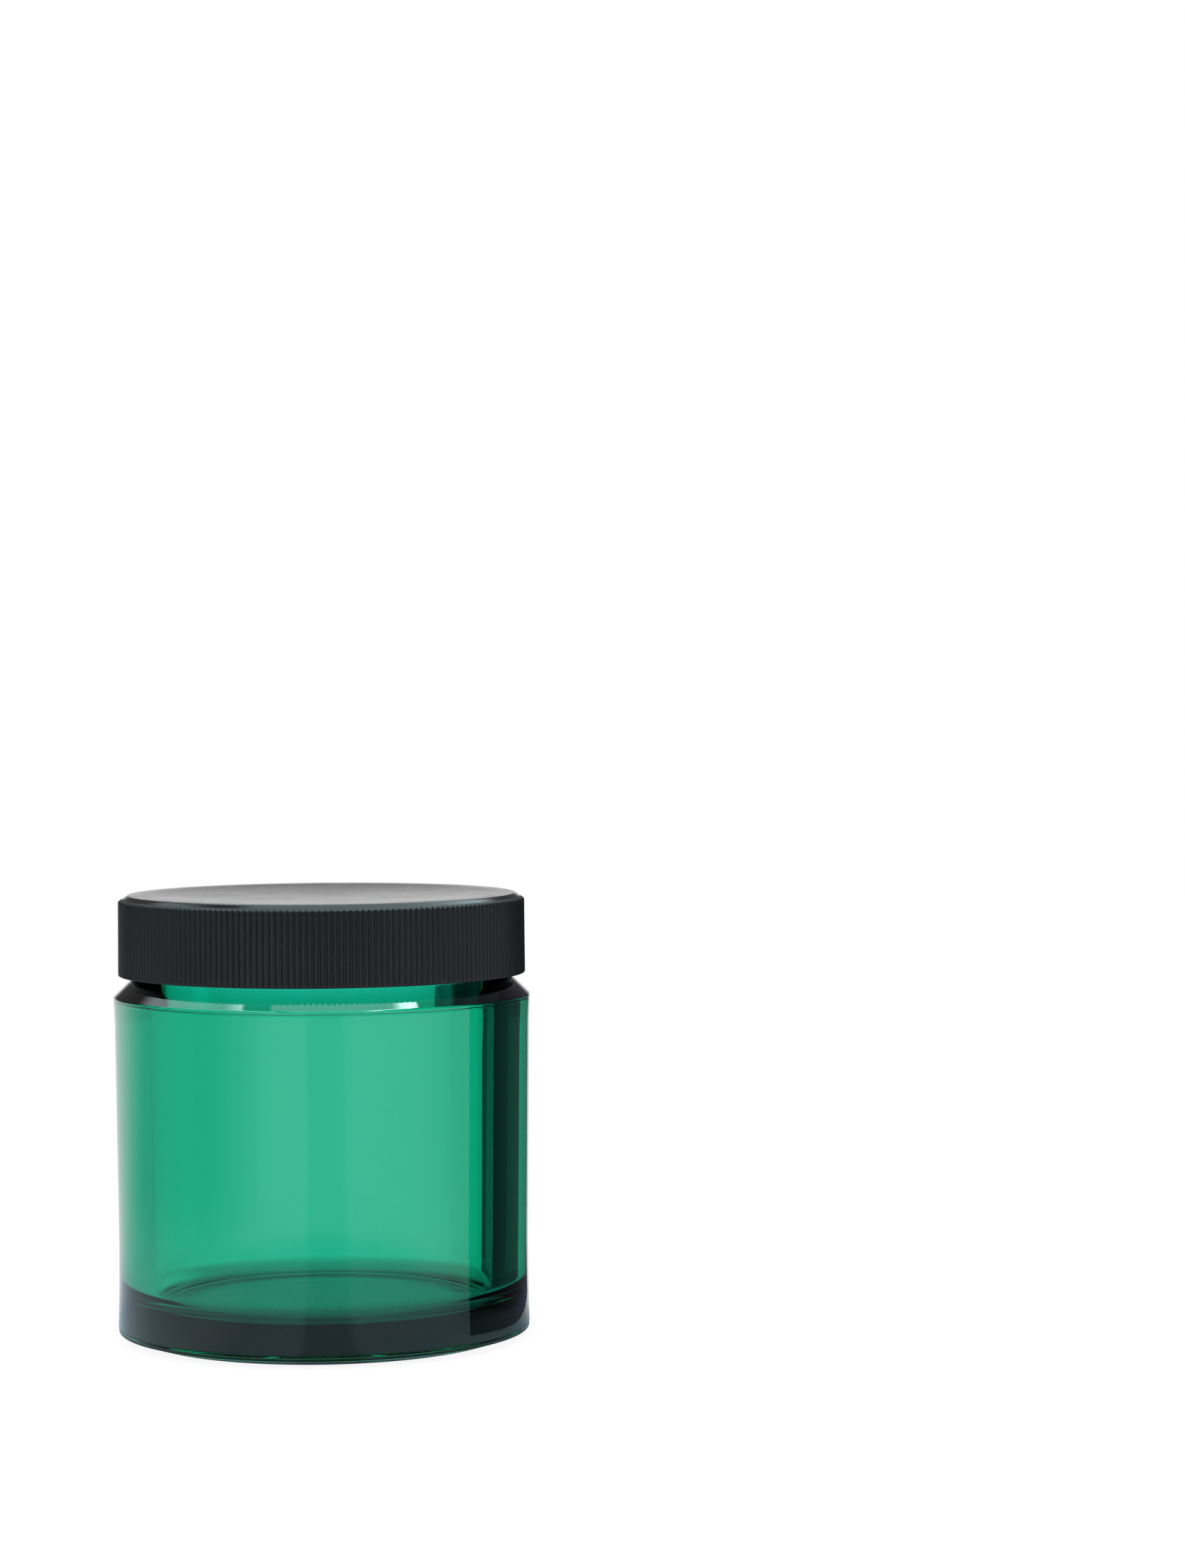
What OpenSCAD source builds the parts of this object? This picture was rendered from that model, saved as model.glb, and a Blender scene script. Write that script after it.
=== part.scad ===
// Small wide-mouth storage jar: a thick-walled transparent moulded body, a finely
// ribbed screw lid and the loose sealing liner inside the lid.
// Millimetres, +Z up. The origin is the centre of the ring that the jar stands on.

/* [Jar body] */
// Diameter at the edge of the shoulder, the widest place of the jar
body_d = 60; // [40:0.5:90]
// Height of the shoulder's edge above the table
shoulder_z = 49.1; // [35:0.1:80]
// How far the wall draws in from the shoulder's edge to the waist, on the radius
waist_in = 0.5; // [0:0.05:0.6]
// Height of the waist, the narrowest place of the wall
waist_z = 14; // [9:0.5:20]
// Wall thickness at the waist
wall_t = 5.1; // [3.8:0.05:5.6]
// Thickness of the base, from the table to the inside floor
floor_z = 5.1; // [4:0.1:8]
// Width of the rounding between the inside floor and the wall
floor_fillet = 2.8; // [1:0.1:4]
// Height of that rounding
floor_fillet_h = 3.3; // [1:0.1:5]
// Taper of the cavity and of the wall above the waist, in degrees
draft = 0.62; // [0:0.01:0.8]

/* [Foot] */
// Height of the fine groove that parts the foot from the wall
foot_z = 1.7; // [1.5:0.1:2.4]
// Depth of that groove
foot_groove = 0.05; // [0.02:0.01:0.3]
// Radius of the foot's lower edge
foot_round = 0.4; // [0.2:0.1:0.6]
// Slope of the foot's underside, in degrees
foot_slope = 17; // [8:1:20]
// Outer radius of the ring that the jar stands on
ring_r = 26.2; // [25:0.1:28]
// Radius of the recess under the base
recess_r = 24.5; // [15:0.5:25]
// Depth of the recess under the base
recess_z = 0.8; // [0.2:0.1:1.5]

/* [Shoulder and neck] */
// Diameter of the plain collar at the bottom of the neck
collar_d = 54; // [53.6:0.1:55]
// Slope of the shoulder, in degrees
slope_a = 44; // [35:0.5:50]
// Height of the lid's lower edge above the shoulder's edge
lid_lift = 3.25; // [3.1:0.05:3.6]
// Diameter at the root of the neck's thread
neck_root_d = 52.8; // [52:0.1:53]
// Height of the rim of the mouth
rim_z = 61.4; // [61:0.1:61.8]

/* [Thread] */
// Rise in one turn
pitch = 4.23; // [4.1:0.01:4.3]
// How far the jar's thread stands out of its neck
jar_thread_h = 0.95; // [0.6:0.05:1]
// How far the lid's thread stands into its bore
lid_thread_h = 0.9; // [0.6:0.05:0.95]
// Length of each thread, in turns
thread_turns = 1.2; // [0.8:0.1:1.3]

/* [Lid] */
// Diameter over the ribs
lid_d = 58.6; // [58:0.1:60]
// Height of the lid
lid_h = 11.5; // [11.4:0.1:12.5]
// Number of ribs round the lid
rib_count = 208; // [60:4:240]
// Depth of the grooves between the ribs
rib_depth = 0.3; // [0.1:0.05:0.4]
// Width of the bevel round the top
bevel_w = 1.4; // [0.5:0.1:3]
// Height of the bevel round the top
bevel_h = 0.95; // [0.3:0.05:2]
// Depth of the shallow dish in the top
dish_h = 0.4; // [0:0.05:0.5]
// Diameter of the bore at the root of the lid's thread
lid_bore_d = 55.5; // [55.3:0.1:55.9]

/* [Liner] */
// Thickness of the sealing liner
liner_t = 1; // [0.6:0.1:1.2]

/* [Hidden] */
$fn = 180;

// heights
lid_z = shoulder_z + lid_lift;
lid_top_z = lid_z + lid_h;
collar_z = lid_z + 1.1;
roof_z = rim_z + liner_t;

// radii of the jar
edge_r = body_d / 2;
waist_r = edge_r - waist_in;
flare_h = 4;
flare_r = waist_r + (shoulder_z - flare_h - waist_z) * tan(draft);
heel_z = foot_z + 0.3;
heel_r = waist_r + 0.16;
foot_r = heel_r - 0.06;
edge_round = 0.4;
collar_r = collar_d / 2;
neck_r = neck_root_d / 2;
rim_round = 0.35;
function cavity_r(z) = waist_r - wall_t + (z - waist_z) * tan(draft);

// radii of the lid
crest_r = lid_d / 2;
bore_r = lid_bore_d / 2;
skirt_r = bore_r + 0.25;
dish_r = crest_r - bevel_w - 2.3;
edge_break = 0.2;
lead_in = 0.35;

// thread form: width at the root, width at the crest, depth sunk into the wall
thread_root_w = 2.2;
jar_crest_w = 1.2;
lid_crest_w = 1;
sunk = 0.4;
// centre of the jar's thread where it starts, and how far below it the lid's thread runs
jar_thread_z = collar_z + 1.2;
mesh_drop = 1.52;
// the lid's thread starts this many turns further round than the jar's
lid_thread_turn = 0.37;
// share of a turn over which a thread runs out at each end, and sections in a turn
run_out = 0.09;
steps = 64;

// points of an arc about [x, y] with radius r, from angle a0 to a1, in n steps
function arc(x, y, r, a0, a1, n = 8) =
    [for (i = [0:n]) let (a = a0 + (a1 - a0) * i / n) [x + r * cos(a), y + r * sin(a)]];

// outside of the wall below the waist: it widens to the heel as the square of the drop
function heel_curve(n = 8) =
    [for (i = [0:n]) let (u = 1 - i / n) [waist_r + (heel_r - waist_r) * u * u,
                                         waist_z - (waist_z - heel_z) * u]];

// outside of the wall below the shoulder's edge: a short flare that steepens upwards
function flare_curve(n = 5) =
    [for (i = [0:n]) let (u = i / n) [flare_r + (edge_r - flare_r) * pow(u, 1.2),
                                     shoulder_z - edge_round / 2 - flare_h * (1 - u)]];

// half of the jar's section, from under the middle round the outside and back down the inside
function jar_section() =
    let (mouth_r = cavity_r(rim_z),
         wall_foot_z = floor_z + floor_fillet_h,
         foot_in = foot_round * (1 - sin(foot_slope)),
         foot_edge_z = (foot_r - foot_in - ring_r) * tan(foot_slope) + foot_round * cos(foot_slope),
         slope_top = arc(edge_r - edge_round, shoulder_z, edge_round, 15, 90 - slope_a, 3))
    concat(
        [[0, recess_z], [recess_r - 1.5, recess_z], [recess_r, 0], [ring_r, 0]],
        arc(foot_r - foot_round, foot_edge_z, foot_round, foot_slope - 90, 0, 5),
        [[foot_r, foot_z - 0.25], [foot_r - foot_groove, foot_z]],
        heel_curve(),
        flare_curve(),
        slope_top,
        [[collar_r, slope_top[3][1] + (slope_top[3][0] - collar_r) * tan(slope_a)],
         [collar_r, collar_z - 0.2], [collar_r - 0.2, collar_z]],
        arc(neck_r + 0.3, collar_z + 0.3, 0.3, -90, -180, 3),
        arc(neck_r - rim_round, rim_z - rim_round, rim_round, 0, 90, 4),
        arc(mouth_r + rim_round, rim_z - rim_round, rim_round, 90, 180, 4),
        [for (p = arc(0, 0, 1, 0, -90, 12))
            [cavity_r(wall_foot_z) - floor_fillet * (1 - p[0]), wall_foot_z + floor_fillet_h * p[1]]],
        [[0, floor_z]]);

// One thread: a trapezoid swept up a helix. out is 1 on the neck and -1 in the lid's bore.
// Its two ends sink into the wall over the run-out.
module thread(root_r, depth, crest_w, z0, turn0, out) {
    n = round(thread_turns * steps);
    function rise(k) = min(1, k / (steps * run_out), (n - k) / (steps * run_out));
    function place(r, z, k) =
        let (turn = turn0 + thread_turns * k / n)
        [r * cos(360 * turn), r * sin(360 * turn), z0 + pitch * turn + z];
    function ring(k) =
        let (r_in = root_r - out * sunk,
             r_out = root_r + out * (depth * rise(k) - 0.15 * (1 - rise(k))),
             w = thread_root_w / 2 + sunk * (thread_root_w - crest_w) / 2 / depth)
        [place(r_in, -w, k), place(r_out, -crest_w / 2, k), place(r_out, crest_w / 2, k), place(r_in, w, k)];
    side = [for (k = [0:n - 1], j = [0:3]) let (a = 4 * k + j, b = 4 * k + (j + 1) % 4)
            each [[a, b, a + 4], [b, b + 4, a + 4]]];
    ends = [[0, 3, 2], [0, 2, 1], [4 * n, 4 * n + 1, 4 * n + 2], [4 * n, 4 * n + 2, 4 * n + 3]];
    faces = concat(side, ends);
    polyhedron([for (k = [0:n]) each ring(k)],
               out > 0 ? faces : [for (f = faces) [f[0], f[2], f[1]]]);
}

// outline of the ribbed skirt: each rib has a flat crest, two flanks and a flat root
function ribbed_outline() =
    [for (i = [0:rib_count - 1], p = [[0.13, 1], [0.32, 0], [0.68, 0], [0.87, 1]])
        let (a = 360 * (i + p[0]) / rib_count, r = crest_r - rib_depth * p[1]) [r * cos(a), r * sin(a)]];

// half of the lid's outside section, which trims the ribs to the bevel and the dished top
function lid_outside() = [
    [0, lid_z], [crest_r - edge_break, lid_z], [crest_r + 0.01, lid_z + edge_break],
    [crest_r + 0.01, lid_top_z - bevel_h], [crest_r - bevel_w, lid_top_z], [dish_r, lid_top_z],
    each [for (i = [1:8]) let (u = 1 - i / 8) [dish_r * u, lid_top_z - dish_h * (1 - u * u)]]];

// half of the space inside the lid: the plain skirt, the threaded bore and the flat roof
function lid_inside() = [
    [0, lid_z - 1], [skirt_r + lead_in, lid_z - 1], [skirt_r + lead_in, lid_z], [skirt_r, lid_z + lead_in],
    [skirt_r, collar_z + 0.1], [bore_r, collar_z + 0.4], [bore_r, roof_z], [0, roof_z]];

module jar_body() {
    color("mediumseagreen") {
        rotate_extrude() polygon(jar_section());
        thread(neck_r, jar_thread_h, jar_crest_w, jar_thread_z, 0, 1);
    }
}

module screw_lid() {
    color("#2c2f31") {
        difference() {
            intersection() {
                translate([0, 0, lid_z - 1]) linear_extrude(lid_h + 2) polygon(ribbed_outline());
                rotate_extrude() polygon(lid_outside());
            }
            rotate_extrude() polygon(lid_inside());
        }
        thread(bore_r, lid_thread_h, lid_crest_w, jar_thread_z - mesh_drop, lid_thread_turn, -1);
    }
}

module seal_liner() {
    color("whitesmoke") translate([0, 0, rim_z]) cylinder(h = liner_t, r = bore_r - 0.15);
}

jar_body();
screw_lid();
seal_liner();
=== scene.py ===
"""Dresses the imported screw-top storage jar: clear green body, ribbed black lid, pale liner.

Every shape is a surface turned about the jar's axis on a numpy grid. Sizes are in
millimetres here and become metres when a mesh is made. The jar stands on z = 0 with its
axis on z, and the neck's thread starts on +x.
"""

from __future__ import annotations

import logging
import math
from dataclasses import dataclass, field
from enum import Enum
from typing import Any, Callable, Mapping, Sequence

import bpy
import numpy as np
from mathutils import Matrix, Vector

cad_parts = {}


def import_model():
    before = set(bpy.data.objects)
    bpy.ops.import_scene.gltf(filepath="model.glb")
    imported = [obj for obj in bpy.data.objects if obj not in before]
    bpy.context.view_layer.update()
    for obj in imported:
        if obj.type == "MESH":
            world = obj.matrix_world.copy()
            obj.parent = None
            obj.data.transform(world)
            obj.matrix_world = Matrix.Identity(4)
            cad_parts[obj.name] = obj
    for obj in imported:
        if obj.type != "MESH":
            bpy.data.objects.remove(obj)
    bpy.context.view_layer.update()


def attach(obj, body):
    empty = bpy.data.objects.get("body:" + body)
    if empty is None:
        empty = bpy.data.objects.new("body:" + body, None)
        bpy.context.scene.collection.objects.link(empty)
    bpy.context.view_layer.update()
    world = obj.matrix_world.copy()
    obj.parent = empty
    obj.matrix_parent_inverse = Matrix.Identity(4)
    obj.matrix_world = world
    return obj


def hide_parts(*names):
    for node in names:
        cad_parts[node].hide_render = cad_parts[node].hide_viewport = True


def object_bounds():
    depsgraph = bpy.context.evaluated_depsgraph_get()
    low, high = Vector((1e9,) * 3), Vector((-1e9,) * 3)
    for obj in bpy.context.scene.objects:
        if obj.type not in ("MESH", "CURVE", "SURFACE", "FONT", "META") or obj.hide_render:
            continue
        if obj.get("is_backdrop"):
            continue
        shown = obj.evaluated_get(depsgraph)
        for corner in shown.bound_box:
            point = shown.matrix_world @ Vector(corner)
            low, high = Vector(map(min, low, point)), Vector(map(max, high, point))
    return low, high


MM = 0.001
LOG = logging.getLogger("jar")

Span = tuple[float, float]
Triple = tuple[float, float, float]
Colour = Triple

UNSTRETCHED: Triple = (1.0, 1.0, 1.0)
WHITE: Colour = (1.0, 1.0, 1.0)
NOISE_MEAN = 0.5
WEAR = "wear"  # the lid's attribute that says how rubbed each point is
SHARP = 0.0  # the radius of a corner that isn't rounded
STRAIGHT = 89.5  # half a corner's angle, in degrees, from which it counts as no corner
LONG_SIDE = 6  # a side is long from this many guards on


class Body(Enum):
    """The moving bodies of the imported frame."""

    JAR = "jar"
    LID = "lid"
    LINER = "liner"


class Slot(Enum):
    """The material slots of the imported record."""

    POLYMER = "green_polymer"
    LID = "black_lid"
    LINER = "white_liner"


# ---------------------------------------------------------------- shader graphs


@dataclass(frozen=True)
class Spots:
    """A noise pattern: how many spots a metre holds, and how rough and stretched they are."""

    scale: float
    detail: float = 2.0
    rough: float = 0.5
    stretch: Triple = UNSTRETCHED


class Signal:
    """A number inside a material, on which Python's operators add Math nodes."""

    def __init__(self, graph: Graph, socket: bpy.types.NodeSocket) -> None:
        """Wraps one output socket of a graph."""
        self.graph = graph
        self.socket = socket

    def math(self, operation: str, *others: Any) -> Signal:
        """Adds one Math node.

        Args:
            operation: The node's operation.
            *others: The second and third operands, numbers or signals.

        Returns:
            The node's result.
        """
        made = self.graph.add(
            "ShaderNodeMath",
            {"operation": operation},
            {0: self, **{i + 1: v for i, v in enumerate(others)}},
        )
        return made.signal()

    def _swapped(self, operation: str, left: Any) -> Signal:
        """The same for an operation whose left operand is a plain number.

        Args:
            operation: The node's operation.
            left: The number.

        Returns:
            The node's result.
        """
        made = self.graph.add("ShaderNodeMath", {"operation": operation}, {0: left, 1: self})
        return made.signal()

    def __add__(self, other: Any) -> Signal:
        """self + other."""
        return self.math("ADD", other)

    def __radd__(self, other: Any) -> Signal:
        """other + self."""
        return self.math("ADD", other)

    def __sub__(self, other: Any) -> Signal:
        """self - other."""
        return self.math("SUBTRACT", other)

    def __rsub__(self, other: Any) -> Signal:
        """other - self."""
        return self._swapped("SUBTRACT", other)

    def __mul__(self, other: Any) -> Signal:
        """self * other."""
        return self.math("MULTIPLY", other)

    def __rmul__(self, other: Any) -> Signal:
        """other * self."""
        return self.math("MULTIPLY", other)

    def __truediv__(self, other: Any) -> Signal:
        """self / other."""
        return self.math("DIVIDE", other)

    def __rtruediv__(self, other: Any) -> Signal:
        """other / self."""
        return self._swapped("DIVIDE", other)

    def __gt__(self, other: Any) -> Signal:
        """1 where self is above other, else 0."""
        return self.math("GREATER_THAN", other)

    def __lt__(self, other: Any) -> Signal:
        """1 where self is below other, else 0: also the reflected form of >."""
        return self.math("LESS_THAN", other)

    def ramp(
        self, low: float, high: float, to_low: float = 0.0, to_high: float = 1.0
    ) -> Signal:
        """Runs smoothly from one value to another.

        Args:
            low: Where the change starts.
            high: Where it ends.
            to_low: The value before low.
            to_high: The value after high.

        Returns:
            The smooth step.
        """
        made = self.graph.add(
            "ShaderNodeMapRange",
            {"interpolation_type": "SMOOTHSTEP"},
            {0: self, 1: low, 2: high, 3: to_low, 4: to_high},
        )
        return made.signal()

    def at_most(self, limit: Any) -> Signal:
        """The smaller of self and the limit."""
        return self.math("MINIMUM", limit)

    def at_least(self, limit: Any) -> Signal:
        """The larger of self and the limit."""
        return self.math("MAXIMUM", limit)

    def between(self, rise: Span, fall: Span) -> Signal:
        """1 from the end of one smooth rise to the start of a smooth fall, else 0."""
        return self.ramp(*rise) * self.ramp(*fall, 1.0, 0.0)


class Made:
    """A node that a graph has made, with its outputs at hand."""

    def __init__(self, graph: Graph, node: bpy.types.Node) -> None:
        """Keeps the node and the graph it is in."""
        self.graph = graph
        self.node = node

    def signal(self, output: int | str = 0) -> Signal:
        """One output as a signal."""
        return Signal(self.graph, self.node.outputs[output])


class Graph:
    """A node tree that is filled from Python expressions."""

    def __init__(self, owner: bpy.types.Material | bpy.types.World) -> None:
        """Empties the owner's node tree.

        Args:
            owner: The material or world whose tree it is.
        """
        owner.use_nodes = True
        self.tree = owner.node_tree
        self.tree.nodes.clear()

    def add(
        self,
        kind: str,
        settings: Mapping[str, Any] | None = None,
        sockets: Mapping[int | str, Any] | None = None,
    ) -> Made:
        """Adds any node.

        Args:
            kind: The node's type.
            settings: Its settings, set first.
            sockets: What each input holds: a number, a colour, a signal or a made
                node, whose first output is taken.

        Returns:
            The node.
        """
        node = self.tree.nodes.new(kind)
        for name, value in (settings or {}).items():
            setattr(node, name, value)
        for name, value in (sockets or {}).items():
            self.feed(node.inputs[name], value)
        return Made(self, node)

    def feed(self, socket: bpy.types.NodeSocket, value: Any) -> None:
        """Links a signal or a made node to a socket, or sets its constant.

        Args:
            socket: The input.
            value: A made node, a signal, a number, or a colour, which gets an alpha of 1
                where the input has one.
        """
        if isinstance(value, Made):
            value = value.signal()
        if isinstance(value, Signal):
            self.tree.links.new(value.socket, socket)
        elif isinstance(value, (tuple, list)):
            room = len(socket.default_value)
            socket.default_value = (*value, 1.0)[:room]
        else:
            socket.default_value = value

    def colours(self, share: Any, first: Any, second: Any) -> Signal:
        """Mixes two colours.

        Args:
            share: How much of the second shows, from 0 to 1.
            first: A colour, or a signal that carries one.
            second: The other.

        Returns:
            The mixed colour.
        """
        # sockets 6 and 7 and output 2 are the ones that carry colours
        made = self.add("ShaderNodeMix", {"data_type": "RGBA"}, {0: share, 6: first, 7: second})
        return made.signal(2)

    def noise(self, spots: Spots) -> Signal:
        """A noise pattern on object coordinates.

        Args:
            spots: How the pattern looks.

        Returns:
            Its value, which varies round NOISE_MEAN.
        """
        made = self.add(
            "ShaderNodeTexNoise",
            None,
            {
                "Vector": self.place(spots.stretch),
                "Scale": spots.scale,
                "Detail": spots.detail,
                "Roughness": spots.rough,
            },
        )
        return made.signal("Fac")

    def bump(self, height: Signal, depth_m: float, strength: float) -> Made:
        """Lets a pattern tilt the surface.

        Args:
            height: The pattern.
            depth_m: How deep a relief it stands for, in metres.
            strength: How much of the tilt shows, from 0 to 1.

        Returns:
            The node, for a Normal input.
        """
        return self.add(
            "ShaderNodeBump",
            None,
            {"Strength": strength, "Distance": depth_m, "Height": height},
        )

    def skin(self, sockets: Mapping[str, Any], **ends: Made) -> None:
        """Ends a material in a Principled shader, and in its volume where it has one."""
        shader = self.add("ShaderNodeBsdfPrincipled", None, sockets)
        self.add("ShaderNodeOutputMaterial", None, {"Surface": shader, **ends})

    def glow(self, colour: Signal | Colour, strength: Signal | float) -> Made:
        """A surface that shines by itself."""
        return self.add("ShaderNodeEmission", None, {"Color": colour, "Strength": strength})

    def mixed(self, share: Signal, first: Made, second: Made) -> Made:
        """Two shaders, of which the second shows by the share."""
        return self.add("ShaderNodeMixShader", None, {0: share, 1: first, 2: second})

    def parts(self, vector: Signal) -> tuple[Signal, Signal, Signal]:
        """The three parts of a vector."""
        split = self.add("ShaderNodeSeparateXYZ", None, {0: vector})
        return split.signal(0), split.signal(1), split.signal(2)

    def place(self, stretch: Triple = UNSTRETCHED) -> Signal:
        """Object coordinates, in metres.

        Args:
            stretch: What each axis is multiplied by.

        Returns:
            The place, as a vector.
        """
        spot = self.add("ShaderNodeTexCoord").signal("Object")
        made = self.add("ShaderNodeMapping", None, {"Vector": spot, "Scale": stretch})
        return made.signal()


class LightPath:
    """What the light that reaches a surface, or the room, has been through."""

    def __init__(self, graph: Graph) -> None:
        """Adds the node that tells it."""
        self.node = graph.add("ShaderNodeLightPath")

    def is_kind(self, kind: str) -> Signal:
        """1 for one kind of light, such as "Camera", else 0."""
        return self.node.signal(f"Is {kind} Ray")

    def thrown_back(self) -> Signal:
        """1 for light that a surface has thrown back at least once, else 0."""
        return self.node.signal("Glossy Depth") > 0.5

    def passed(self, times: int = 1) -> Signal:
        """1 for light that has gone through the clear skin at least so often, else 0."""
        return self.node.signal("Transmission Depth") > times - 0.5


# ---------------------------------------------------------------- turned shapes


def link(name: str, data: Any) -> bpy.types.Object:
    """Puts an object in the scene.

    Args:
        name: Its name.
        data: Its mesh or camera.

    Returns:
        The object.
    """
    made = bpy.data.objects.new(name, data)
    bpy.context.scene.collection.objects.link(made)
    return made


def arc(
    centre: Span, radius: float, start: float, end: float, parts: int
) -> np.ndarray:
    """Points of an arc: the centre plus the radius times (cos a, sin a), a in equal steps.

    Args:
        centre: The arc's centre, as (radius, height).
        radius: The arc's own radius.
        start: The first angle, in degrees.
        end: The last angle, in degrees.
        parts: How many steps there are.

    Returns:
        The points, one more than there are steps.
    """
    a = np.radians(np.linspace(start, end, parts + 1))
    return np.column_stack([centre[0] + radius * np.cos(a), centre[1] + radius * np.sin(a)])


def rounded(corners: Sequence[Triple], turn: float = 11.0) -> np.ndarray:
    """A polyline whose corners are rounded.

    Each corner that has a radius gives way to the arc that touches both of its sides:
    the arc starts at radius / tan(half the angle) from the corner.

    Args:
        corners: (radius from the axis, height, radius of the corner).
        turn: The largest turn between two points of an arc, in degrees.

    Returns:
        The points.
    """
    at = np.array(corners, float)
    out = [at[:1, :2]]
    for before, here, after in zip(at[:-2], at[1:-1], at[2:]):
        u, v = before[:2] - here[:2], after[:2] - here[:2]
        u, v = u / np.linalg.norm(u), v / np.linalg.norm(v)
        half = math.acos(float(np.clip(u @ v, -1, 1))) / 2
        if here[2] <= 0 or half > math.radians(STRAIGHT):
            out.append(here[None, :2])
            continue
        middle = here[:2] + (u + v) / np.linalg.norm(u + v) * here[2] / math.sin(half)
        first = here[:2] + u * here[2] / math.tan(half) - middle
        sweep = math.pi - 2 * half
        side = np.sign(u[0] * v[1] - u[1] * v[0]) * -1.0
        parts = max(2, math.ceil(math.degrees(sweep) / turn))
        a = math.atan2(first[1], first[0]) + side * np.linspace(0, sweep, parts + 1)
        out.append(middle + here[2] * np.column_stack([np.cos(a), np.sin(a)]))
    return np.vstack([*out, at[-1:, :2]])


def spaced(points: np.ndarray, step: float, guard: float = 0.1) -> np.ndarray:
    """Adds points to the long sides of a polyline.

    A side longer than six guards gets a point one guard from each of its ends, so that
    the shading turns only at the corner, and the rest is cut into equal parts.

    Args:
        points: The polyline.
        step: The longest part.
        guard: The distance of the points next to a corner.

    Returns:
        The denser polyline.
    """
    out = [points[:1]]
    for a, b in zip(points[:-1], points[1:]):
        length = float(np.linalg.norm(b - a))
        if length > LONG_SIDE * guard:
            end, parts = guard / length, max(1, math.ceil(length / step))
            out.append(a + np.linspace(end, 1 - end, parts + 1)[:, None] * (b - a))
        out.append(b[None])
    return np.vstack(out)


def turned(profile: np.ndarray, columns: int, lift: np.ndarray | float = 0.0) -> np.ndarray:
    """Turns a profile about the axis.

    A point is ((r + lift) cos a, (r + lift) sin a, z), where a is the column's angle.

    Args:
        profile: (rows, 2) of radius and height, or (rows, columns, 2).
        columns: How many points there are round the axis.
        lift: What is added to the radius, (rows, columns) or one number.

    Returns:
        (rows, columns, 3) points.
    """
    a = np.arange(columns) * (2 * np.pi / columns)
    r, z = profile[..., 0], profile[..., 1]
    if profile.ndim == 2:
        r, z = r[:, None], z[:, None]
    r = r + lift
    z = np.broadcast_to(z, (len(r), columns))
    return np.stack([r * np.cos(a), r * np.sin(a), z], axis=-1)


@dataclass
class Shell:
    """A closed surface that grows ring by ring, from one point on the axis to another."""

    points: list[np.ndarray] = field(default_factory=list)
    quads: list[np.ndarray] = field(default_factory=list)
    triangles: list[np.ndarray] = field(default_factory=list)
    count: int = 0
    last: np.ndarray | None = None

    def _keep(self, points: np.ndarray) -> np.ndarray:
        """Stores points.

        Args:
            points: (..., 3) places.

        Returns:
            The points' numbers, in the same shape.
        """
        flat = points.reshape(-1, 3)
        numbers = self.count + np.arange(len(flat))
        self.points.append(flat)
        self.count += len(flat)
        return numbers.reshape(points.shape[:-1])

    def pole(self, height: float) -> None:
        """Starts or ends the surface at one point on the axis.

        Args:
            height: Its height. Every triangle runs from it to the ring next to it.
        """
        tip = int(self._keep(np.array([[0.0, 0.0, height]]))[0])
        if self.last is not None:
            ring, tips = self.last, np.full(len(self.last), tip)
            self.triangles.append(np.column_stack([ring, np.roll(ring, -1), tips]))
        self.last = np.array([tip])

    def rings(self, points: np.ndarray) -> None:
        """Goes on with rings of points, which join the ring before them.

        A ring with more or fewer points than the last one joins it in fans: each side of
        the sparse ring takes its share of the dense ring's sides.

        Args:
            points: (rows, columns, 3), the rows in the order of the profile.
        """
        grid = self._keep(points)
        if self.last is not None:
            self._join(self.last, grid[0])
        if len(grid) > 1:
            a, b = grid[:-1], grid[1:]
            faces = np.stack([a, np.roll(a, -1, 1), np.roll(b, -1, 1), b], axis=-1)
            self.quads.append(faces.reshape(-1, 4))
        self.last = grid[-1]

    def _join(self, a: np.ndarray, b: np.ndarray) -> None:
        """Joins two rings.

        Args:
            a: The numbers of the points of the ring before.
            b: Those of the new ring. Where the rings differ, one has a whole number of
                points for each point of the other.
        """
        if len(a) == len(b):
            self.quads.append(np.column_stack([a, np.roll(a, -1), np.roll(b, -1), b]))
            return
        if len(a) == 1:
            tips = np.full(len(b), a[0])
            self.triangles.append(np.column_stack([tips, np.roll(b, -1), b]))
            return
        dense, sparse = (a, b) if len(a) > len(b) else (b, a)
        share = len(dense) // len(sparse)
        i = np.arange(len(dense))
        owner = ((i + share - share // 2) // share) % len(sparse)
        middle = dense[np.arange(len(sparse)) * share + share // 2]
        if dense is a:
            fans = np.column_stack([dense, np.roll(dense, -1), sparse[owner]])
            gaps = np.column_stack([middle, np.roll(sparse, -1), sparse])
        else:
            fans = np.column_stack([sparse[owner], np.roll(dense, -1), dense])
            gaps = np.column_stack([sparse, np.roll(sparse, -1), middle])
        self.triangles += [fans, gaps]

    def build(self, name: str) -> bpy.types.Object:
        """Makes the mesh object, in metres and smooth.

        Args:
            name: The object's name.

        Returns:
            The object, in the scene.
        """
        mesh = bpy.data.meshes.new(name)
        faces = [f for block in (*self.quads, *self.triangles) for f in block.tolist()]
        mesh.from_pydata((np.vstack(self.points) * MM).tolist(), [], faces)
        mesh.polygons.foreach_set("use_smooth", np.ones(len(mesh.polygons), bool))
        mesh.validate()
        mesh.update()
        return link(name, mesh)


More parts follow.
